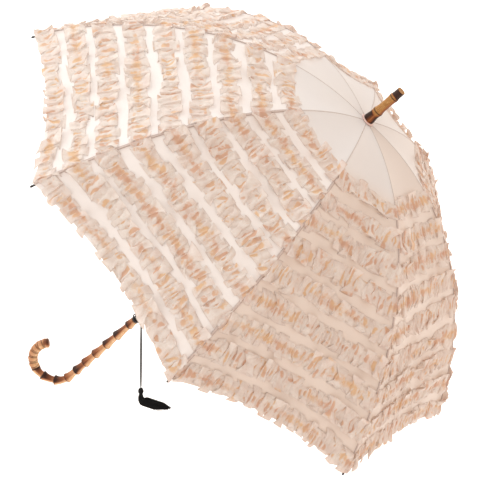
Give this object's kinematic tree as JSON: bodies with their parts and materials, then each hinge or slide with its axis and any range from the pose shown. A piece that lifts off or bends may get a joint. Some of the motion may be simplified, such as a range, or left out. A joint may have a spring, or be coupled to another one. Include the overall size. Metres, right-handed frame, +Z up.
{
  "type": "ruffled parasol",
  "caption": "Folding parasol with a domed ivory canopy of gores covered in gathered ruffle rows, a bamboo ferrule and a bamboo crook handle with a black cord and tassel.",
  "frame": {"origin": "centre of the cut end of the ferrule, on the shaft's axis", "axes": "+Z up the shaft to the ferrule; -X the side that the crook handle turns to; +Y completes a right-handed frame"},
  "size_m": [0.9652, 0.9652, 0.9009],
  "materials": {
    "satin_cloth": "ivory satin with cream-pink organza ruffles",
    "pink_cloth": "gathered pink cloth",
    "bamboo": "varnished scorched bamboo",
    "black_steel": "satin black",
    "plated_steel": "nickel plated",
    "black_cord": "black silk cord"
  },
  "bodies": {
    "shaft": {"shaft": "black_steel", "stop_pin": "plated_steel", "top_notch": "plated_steel", "notch_wire": "plated_steel", "crown_rosette": "pink_cloth", "ferrule": "bamboo", "handle": "bamboo", "handle_collar": "black_steel", "cord_loop": "black_cord"},
    "runner": {"runner": "plated_steel"},
    "open_catch": {"open_catch": "plated_steel"},
    "closed_catch": {"closed_catch": "plated_steel"},
    "tassel_cord": {"tassel_cord": "black_cord", "tassel_head": "black_cord"},
    "tassel_skirt": {"tassel_skirt": "black_cord"},
    "rib_1": {"rib_1": "black_steel", "rib_tip_1": "black_steel"},
    "stretcher_1": {"stretcher_1": "black_steel"},
    "rib_2": {"rib_2": "black_steel", "rib_tip_2": "black_steel"},
    "stretcher_2": {"stretcher_2": "black_steel"},
    "rib_3": {"rib_3": "black_steel", "rib_tip_3": "black_steel"},
    "stretcher_3": {"stretcher_3": "black_steel"},
    "rib_4": {"rib_4": "black_steel", "rib_tip_4": "black_steel"},
    "stretcher_4": {"stretcher_4": "black_steel"},
    "rib_5": {"rib_5": "black_steel", "rib_tip_5": "black_steel"},
    "stretcher_5": {"stretcher_5": "black_steel"},
    "rib_6": {"rib_6": "black_steel", "rib_tip_6": "black_steel"},
    "stretcher_6": {"stretcher_6": "black_steel"},
    "rib_7": {"rib_7": "black_steel", "rib_tip_7": "black_steel"},
    "stretcher_7": {"stretcher_7": "black_steel"},
    "rib_8": {"rib_8": "black_steel", "rib_tip_8": "black_steel"},
    "stretcher_8": {"stretcher_8": "black_steel"},
    "gore_1_left": {"gore_1_left": "satin_cloth"},
    "gore_1_right": {"gore_1_right": "satin_cloth"},
    "gore_2_left": {"gore_2_left": "satin_cloth"},
    "gore_2_right": {"gore_2_right": "satin_cloth"},
    "gore_3_left": {"gore_3_left": "satin_cloth"},
    "gore_3_right": {"gore_3_right": "satin_cloth"},
    "gore_4_left": {"gore_4_left": "satin_cloth"},
    "gore_4_right": {"gore_4_right": "satin_cloth"},
    "gore_5_left": {"gore_5_left": "satin_cloth"},
    "gore_5_right": {"gore_5_right": "satin_cloth"},
    "gore_6_left": {"gore_6_left": "satin_cloth"},
    "gore_6_right": {"gore_6_right": "satin_cloth"},
    "gore_7_left": {"gore_7_left": "satin_cloth"},
    "gore_7_right": {"gore_7_right": "satin_cloth"},
    "gore_8_left": {"gore_8_left": "satin_cloth"},
    "gore_8_right": {"gore_8_right": "satin_cloth"}
  },
  "joints": [
    {"name": "runner_slide", "type": "slide", "parent": "shaft", "child": "runner", "axis": [0, 0, -1], "range_m": [0, 0.2941], "deforming": ["open_catch", "closed_catch", "gore_1_left", "gore_1_right", "gore_2_left", "gore_2_right", "gore_3_left", "gore_3_right", "gore_4_left", "gore_4_right", "gore_5_left", "gore_5_right", "gore_6_left", "gore_6_right", "gore_7_left", "gore_7_right", "gore_8_left", "gore_8_right"]},
    {"name": "rib_1_hinge", "type": "hinge", "parent": "shaft", "child": "rib_1", "pos_m": [0.009, 0, -0.084], "axis": [0, 1, 0], "range_deg": [-0.1, 55.1]},
    {"name": "stretcher_1_hinge", "type": "hinge", "parent": "rib_1", "child": "stretcher_1", "pos_m": [0.23171, 0, -0.14351], "axis": [0, 1, 0], "range_deg": [-104.84, 0.1]},
    {"name": "rib_2_hinge", "type": "hinge", "parent": "shaft", "child": "rib_2", "pos_m": [0.00636, 0.00636, -0.084], "axis": [-0.7071, 0.7071, 0], "range_deg": [-0.1, 55.1]},
    {"name": "stretcher_2_hinge", "type": "hinge", "parent": "rib_2", "child": "stretcher_2", "pos_m": [0.16384, 0.16384, -0.14351], "axis": [-0.7071, 0.7071, 0], "range_deg": [-104.84, 0.1]},
    {"name": "rib_3_hinge", "type": "hinge", "parent": "shaft", "child": "rib_3", "pos_m": [0, 0.009, -0.084], "axis": [-1, 0, 0], "range_deg": [-0.1, 55.1]},
    {"name": "stretcher_3_hinge", "type": "hinge", "parent": "rib_3", "child": "stretcher_3", "pos_m": [0, 0.23171, -0.14351], "axis": [-1, 0, 0], "range_deg": [-104.84, 0.1]},
    {"name": "rib_4_hinge", "type": "hinge", "parent": "shaft", "child": "rib_4", "pos_m": [-0.00636, 0.00636, -0.084], "axis": [-0.7071, -0.7071, 0], "range_deg": [-0.1, 55.1]},
    {"name": "stretcher_4_hinge", "type": "hinge", "parent": "rib_4", "child": "stretcher_4", "pos_m": [-0.16384, 0.16384, -0.14351], "axis": [-0.7071, -0.7071, 0], "range_deg": [-104.84, 0.1]},
    {"name": "rib_5_hinge", "type": "hinge", "parent": "shaft", "child": "rib_5", "pos_m": [-0.009, 0, -0.084], "axis": [0, -1, 0], "range_deg": [-0.1, 55.1]},
    {"name": "stretcher_5_hinge", "type": "hinge", "parent": "rib_5", "child": "stretcher_5", "pos_m": [-0.23171, 0, -0.14351], "axis": [0, -1, 0], "range_deg": [-104.84, 0.1]},
    {"name": "rib_6_hinge", "type": "hinge", "parent": "shaft", "child": "rib_6", "pos_m": [-0.00636, -0.00636, -0.084], "axis": [0.7071, -0.7071, 0], "range_deg": [-0.1, 55.1]},
    {"name": "stretcher_6_hinge", "type": "hinge", "parent": "rib_6", "child": "stretcher_6", "pos_m": [-0.16384, -0.16384, -0.14351], "axis": [0.7071, -0.7071, 0], "range_deg": [-104.84, 0.1]},
    {"name": "rib_7_hinge", "type": "hinge", "parent": "shaft", "child": "rib_7", "pos_m": [0, -0.009, -0.084], "axis": [1, 0, 0], "range_deg": [-0.1, 55.1]},
    {"name": "stretcher_7_hinge", "type": "hinge", "parent": "rib_7", "child": "stretcher_7", "pos_m": [0, -0.23171, -0.14351], "axis": [1, 0, 0], "range_deg": [-104.84, 0.1]},
    {"name": "rib_8_hinge", "type": "hinge", "parent": "shaft", "child": "rib_8", "pos_m": [0.00636, -0.00636, -0.084], "axis": [0.7071, 0.7071, 0], "range_deg": [-0.1, 55.1]},
    {"name": "stretcher_8_hinge", "type": "hinge", "parent": "rib_8", "child": "stretcher_8", "pos_m": [0.16384, -0.16384, -0.14351], "axis": [0.7071, 0.7071, 0], "range_deg": [-104.84, 0.1]},
    {"name": "gore_1_left_fold", "type": "hinge", "parent": "rib_1", "child": "gore_1_left", "pos_m": [0.009, 0.00179, -0.084], "axis": [-0.6009, -0.7356, -0.3128], "range_deg": [-0.1, 22.92]},
    {"name": "gore_1_right_fold", "type": "hinge", "parent": "rib_2", "child": "gore_1_right", "pos_m": [0.00763, 0.0051, -0.084], "axis": [0.945, -0.0952, 0.3128], "range_deg": [-0.1, 22.92]},
    {"name": "gore_2_left_fold", "type": "hinge", "parent": "rib_2", "child": "gore_2_left", "pos_m": [0.0051, 0.00763, -0.084], "axis": [0.0952, -0.945, -0.3128], "range_deg": [-0.1, 22.92]},
    {"name": "gore_2_right_fold", "type": "hinge", "parent": "rib_3", "child": "gore_2_right", "pos_m": [0.00179, 0.009, -0.084], "axis": [0.7356, 0.6009, 0.3128], "range_deg": [-0.1, 22.92]},
    {"name": "gore_3_left_fold", "type": "hinge", "parent": "rib_3", "child": "gore_3_left", "pos_m": [-0.00179, 0.009, -0.084], "axis": [0.7356, -0.6009, -0.3128], "range_deg": [-0.1, 22.92]},
    {"name": "gore_3_right_fold", "type": "hinge", "parent": "rib_4", "child": "gore_3_right", "pos_m": [-0.0051, 0.00763, -0.084], "axis": [0.0952, 0.945, 0.3128], "range_deg": [-0.1, 22.92]},
    {"name": "gore_4_left_fold", "type": "hinge", "parent": "rib_4", "child": "gore_4_left", "pos_m": [-0.00763, 0.0051, -0.084], "axis": [0.945, 0.0952, -0.3128], "range_deg": [-0.1, 22.92]},
    {"name": "gore_4_right_fold", "type": "hinge", "parent": "rib_5", "child": "gore_4_right", "pos_m": [-0.009, 0.00179, -0.084], "axis": [-0.6009, 0.7356, 0.3128], "range_deg": [-0.1, 22.92]},
    {"name": "gore_5_left_fold", "type": "hinge", "parent": "rib_5", "child": "gore_5_left", "pos_m": [-0.009, -0.00179, -0.084], "axis": [0.6009, 0.7356, -0.3128], "range_deg": [-0.1, 22.92]},
    {"name": "gore_5_right_fold", "type": "hinge", "parent": "rib_6", "child": "gore_5_right", "pos_m": [-0.00763, -0.0051, -0.084], "axis": [-0.945, 0.0952, 0.3128], "range_deg": [-0.1, 22.92]},
    {"name": "gore_6_left_fold", "type": "hinge", "parent": "rib_6", "child": "gore_6_left", "pos_m": [-0.0051, -0.00763, -0.084], "axis": [-0.0952, 0.945, -0.3128], "range_deg": [-0.1, 22.92]},
    {"name": "gore_6_right_fold", "type": "hinge", "parent": "rib_7", "child": "gore_6_right", "pos_m": [-0.00179, -0.009, -0.084], "axis": [-0.7356, -0.6009, 0.3128], "range_deg": [-0.1, 22.92]},
    {"name": "gore_7_left_fold", "type": "hinge", "parent": "rib_7", "child": "gore_7_left", "pos_m": [0.00179, -0.009, -0.084], "axis": [-0.7356, 0.6009, -0.3128], "range_deg": [-0.1, 22.92]},
    {"name": "gore_7_right_fold", "type": "hinge", "parent": "rib_8", "child": "gore_7_right", "pos_m": [0.0051, -0.00763, -0.084], "axis": [-0.0952, -0.945, 0.3128], "range_deg": [-0.1, 22.92]},
    {"name": "gore_8_left_fold", "type": "hinge", "parent": "rib_8", "child": "gore_8_left", "pos_m": [0.00763, -0.0051, -0.084], "axis": [-0.945, -0.0952, -0.3128], "range_deg": [-0.1, 22.92]},
    {"name": "gore_8_right_fold", "type": "hinge", "parent": "rib_1", "child": "gore_8_right", "pos_m": [0.009, -0.00179, -0.084], "axis": [0.6009, -0.7356, 0.3128], "range_deg": [-0.1, 22.92]},
    {"name": "open_catch_press", "type": "hinge", "parent": "shaft", "child": "open_catch", "pos_m": [0, 0.0026, -0.3103], "axis": [-1, 0, 0], "range_deg": [-8, 0]},
    {"name": "closed_catch_press", "type": "hinge", "parent": "shaft", "child": "closed_catch", "pos_m": [0, 0.0026, -0.5478], "axis": [-1, 0, 0], "range_deg": [0, 8]},
    {"name": "tassel_swing", "type": "hinge", "parent": "shaft", "child": "tassel_cord", "pos_m": [0.01182, -0.0049, -0.664], "axis": [0.3832, 0.9237, 0], "range_deg": [-30, 44]},
    {"name": "tassel_bend", "type": "hinge", "parent": "tassel_cord", "child": "tassel_skirt", "pos_m": [0.10308, -0.04276, -0.75274], "axis": [0.2746, 0.9535, -0.1244], "range_deg": [-10, 66]}
  ],
  "couplings": [
    {"joint": "rib_1_hinge", "follows": "runner_slide", "rad_per_m": 3.264},
    {"joint": "stretcher_1_hinge", "follows": "runner_slide", "rad_per_m": -6.2157},
    {"joint": "rib_2_hinge", "follows": "runner_slide", "rad_per_m": 3.264},
    {"joint": "stretcher_2_hinge", "follows": "runner_slide", "rad_per_m": -6.2157},
    {"joint": "rib_3_hinge", "follows": "runner_slide", "rad_per_m": 3.264},
    {"joint": "stretcher_3_hinge", "follows": "runner_slide", "rad_per_m": -6.2157},
    {"joint": "rib_4_hinge", "follows": "runner_slide", "rad_per_m": 3.264},
    {"joint": "stretcher_4_hinge", "follows": "runner_slide", "rad_per_m": -6.2157},
    {"joint": "rib_5_hinge", "follows": "runner_slide", "rad_per_m": 3.264},
    {"joint": "stretcher_5_hinge", "follows": "runner_slide", "rad_per_m": -6.2157},
    {"joint": "rib_6_hinge", "follows": "runner_slide", "rad_per_m": 3.264},
    {"joint": "stretcher_6_hinge", "follows": "runner_slide", "rad_per_m": -6.2157},
    {"joint": "rib_7_hinge", "follows": "runner_slide", "rad_per_m": 3.264},
    {"joint": "stretcher_7_hinge", "follows": "runner_slide", "rad_per_m": -6.2157},
    {"joint": "rib_8_hinge", "follows": "runner_slide", "rad_per_m": 3.264},
    {"joint": "stretcher_8_hinge", "follows": "runner_slide", "rad_per_m": -6.2157},
    {"joint": "gore_1_left_fold", "follows": "runner_slide", "rad_per_m": 1.3542},
    {"joint": "gore_1_right_fold", "follows": "runner_slide", "rad_per_m": 1.3542},
    {"joint": "gore_2_left_fold", "follows": "runner_slide", "rad_per_m": 1.3542},
    {"joint": "gore_2_right_fold", "follows": "runner_slide", "rad_per_m": 1.3542},
    {"joint": "gore_3_left_fold", "follows": "runner_slide", "rad_per_m": 1.3542},
    {"joint": "gore_3_right_fold", "follows": "runner_slide", "rad_per_m": 1.3542},
    {"joint": "gore_4_left_fold", "follows": "runner_slide", "rad_per_m": 1.3542},
    {"joint": "gore_4_right_fold", "follows": "runner_slide", "rad_per_m": 1.3542},
    {"joint": "gore_5_left_fold", "follows": "runner_slide", "rad_per_m": 1.3542},
    {"joint": "gore_5_right_fold", "follows": "runner_slide", "rad_per_m": 1.3542},
    {"joint": "gore_6_left_fold", "follows": "runner_slide", "rad_per_m": 1.3542},
    {"joint": "gore_6_right_fold", "follows": "runner_slide", "rad_per_m": 1.3542},
    {"joint": "gore_7_left_fold", "follows": "runner_slide", "rad_per_m": 1.3542},
    {"joint": "gore_7_right_fold", "follows": "runner_slide", "rad_per_m": 1.3542},
    {"joint": "gore_8_left_fold", "follows": "runner_slide", "rad_per_m": 1.3542},
    {"joint": "gore_8_right_fold", "follows": "runner_slide", "rad_per_m": 1.3542}
  ]
}
